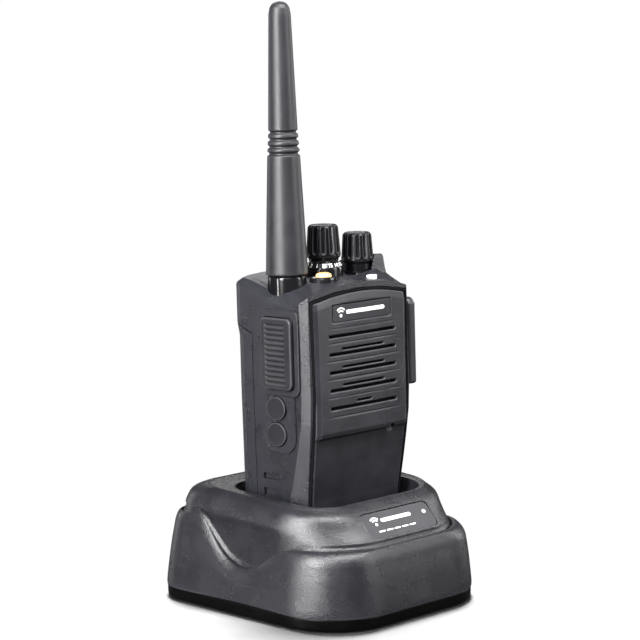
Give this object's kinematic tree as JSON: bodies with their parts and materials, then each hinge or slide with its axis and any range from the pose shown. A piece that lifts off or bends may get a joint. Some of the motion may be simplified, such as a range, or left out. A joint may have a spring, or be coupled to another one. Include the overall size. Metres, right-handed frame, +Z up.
{
  "type": "walkie talkie",
  "caption": "Hand-held two-way radio with a whip antenna, rotary knobs and side keys, standing in its desktop charging cradle.",
  "frame": {"origin": "centre of the cradle's footprint, on the surface it stands on", "axes": "+X to the radio's right hand side seen from its user, -Y towards the speaker grille, +Z up"},
  "size_m": [0.1034, 0.1032, 0.2436],
  "materials": {
    "charger_grain": "fine spark-eroded grain",
    "charger_gloss": "gloss",
    "label_film": "satin",
    "radio_grain": "fine spark-eroded grain",
    "panel_satin": "satin",
    "gloss_trim": "gloss",
    "soft_rubber": "matte",
    "orange_cap": "semi-gloss",
    "clear_lens": "gloss",
    "steel": "brushed",
    "gold_plate": "bright",
    "circuit_board": "semi-gloss",
    "speaker_cloth": "matte"
  },
  "bodies": {
    "charger": {"charger_base": "charger_gloss", "charger_housing": "charger_grain", "charger_label": "label_film", "charge_light": "clear_lens", "charger_board": "circuit_board", "dc_inlet": "charger_gloss", "charger_pin_left": "gold_plate", "charger_pin_right": "gold_plate", "charger_foot_1": "soft_rubber", "charger_foot_2": "soft_rubber", "charger_foot_3": "soft_rubber", "charger_foot_4": "soft_rubber", "charger_screw_1": "steel", "charger_screw_2": "steel", "charger_screw_3": "steel", "charger_screw_4": "steel"},
    "radio": {"chassis": "radio_grain", "battery_pack": "radio_grain", "front_panel": "panel_satin", "panel_bezel": "gloss_trim", "badge_plate": "panel_satin", "grille_cloth": "speaker_cloth", "speaker": "steel", "microphone": "steel", "main_board": "circuit_board", "radio_shield": "steel", "jack_block": "gloss_trim", "battery_latch": "panel_satin", "battery_contact_left": "gold_plate", "battery_contact_right": "gold_plate", "antenna_whip": "soft_rubber", "antenna_collar": "gloss_trim", "channel_switch": "steel", "volume_control": "steel", "digit_ring": "panel_satin", "emergency_bezel": "gloss_trim", "status_lens": "clear_lens", "ptt_switch": "steel", "side_keypad": "soft_rubber", "chassis_screw_left": "steel", "chassis_screw_right": "steel"},
    "channel_selector": {"channel_knob": "gloss_trim"},
    "volume_selector": {"volume_knob": "gloss_trim"},
    "talk_key": {"ptt_key": "soft_rubber"},
    "upper_key": {"side_button_upper": "soft_rubber"},
    "lower_key": {"side_button_lower": "soft_rubber"},
    "emergency_key": {"emergency_button": "orange_cap"},
    "socket_cover": {"jack_cover": "panel_satin", "cover_screw": "steel"}
  },
  "joints": [
    {"name": "radio_lift", "type": "slide", "parent": "charger", "child": "radio", "axis": [0, 0.0384, 0.9993], "range_m": [0, 0.06]},
    {"name": "channel_turn", "type": "hinge", "parent": "radio", "child": "channel_selector", "pos_m": [0.001, 0.0036, 0.14136], "axis": [0, -0.0384, -0.9993], "range_deg": [0, 337.5]},
    {"name": "volume_turn", "type": "hinge", "parent": "radio", "child": "volume_selector", "pos_m": [0.0203, 0.0032, 0.14138], "axis": [0, -0.0384, -0.9993], "range_deg": [0, 300]},
    {"name": "talk_press", "type": "slide", "parent": "radio", "child": "talk_key", "axis": [1, 0, 0], "range_m": [0, 0.0012], "stiffness_N_per_m": 400, "springref_m": -0.002},
    {"name": "upper_key_press", "type": "slide", "parent": "radio", "child": "upper_key", "axis": [1, 0, 0], "range_m": [0, 0.0008], "stiffness_N_per_m": 400, "springref_m": -0.002},
    {"name": "lower_key_press", "type": "slide", "parent": "radio", "child": "lower_key", "axis": [1, 0, 0], "range_m": [0, 0.0008], "stiffness_N_per_m": 400, "springref_m": -0.002},
    {"name": "emergency_press", "type": "slide", "parent": "radio", "child": "emergency_key", "axis": [0, -0.0384, -0.9993], "range_m": [0, 0.001], "stiffness_N_per_m": 400, "springref_m": -0.002},
    {"name": "cover_swing", "type": "hinge", "parent": "radio", "child": "socket_cover", "pos_m": [0.0312, 0.01159, 0.10443], "axis": [0, 0.0384, 0.9993], "range_deg": [0, 100]}
  ]
}
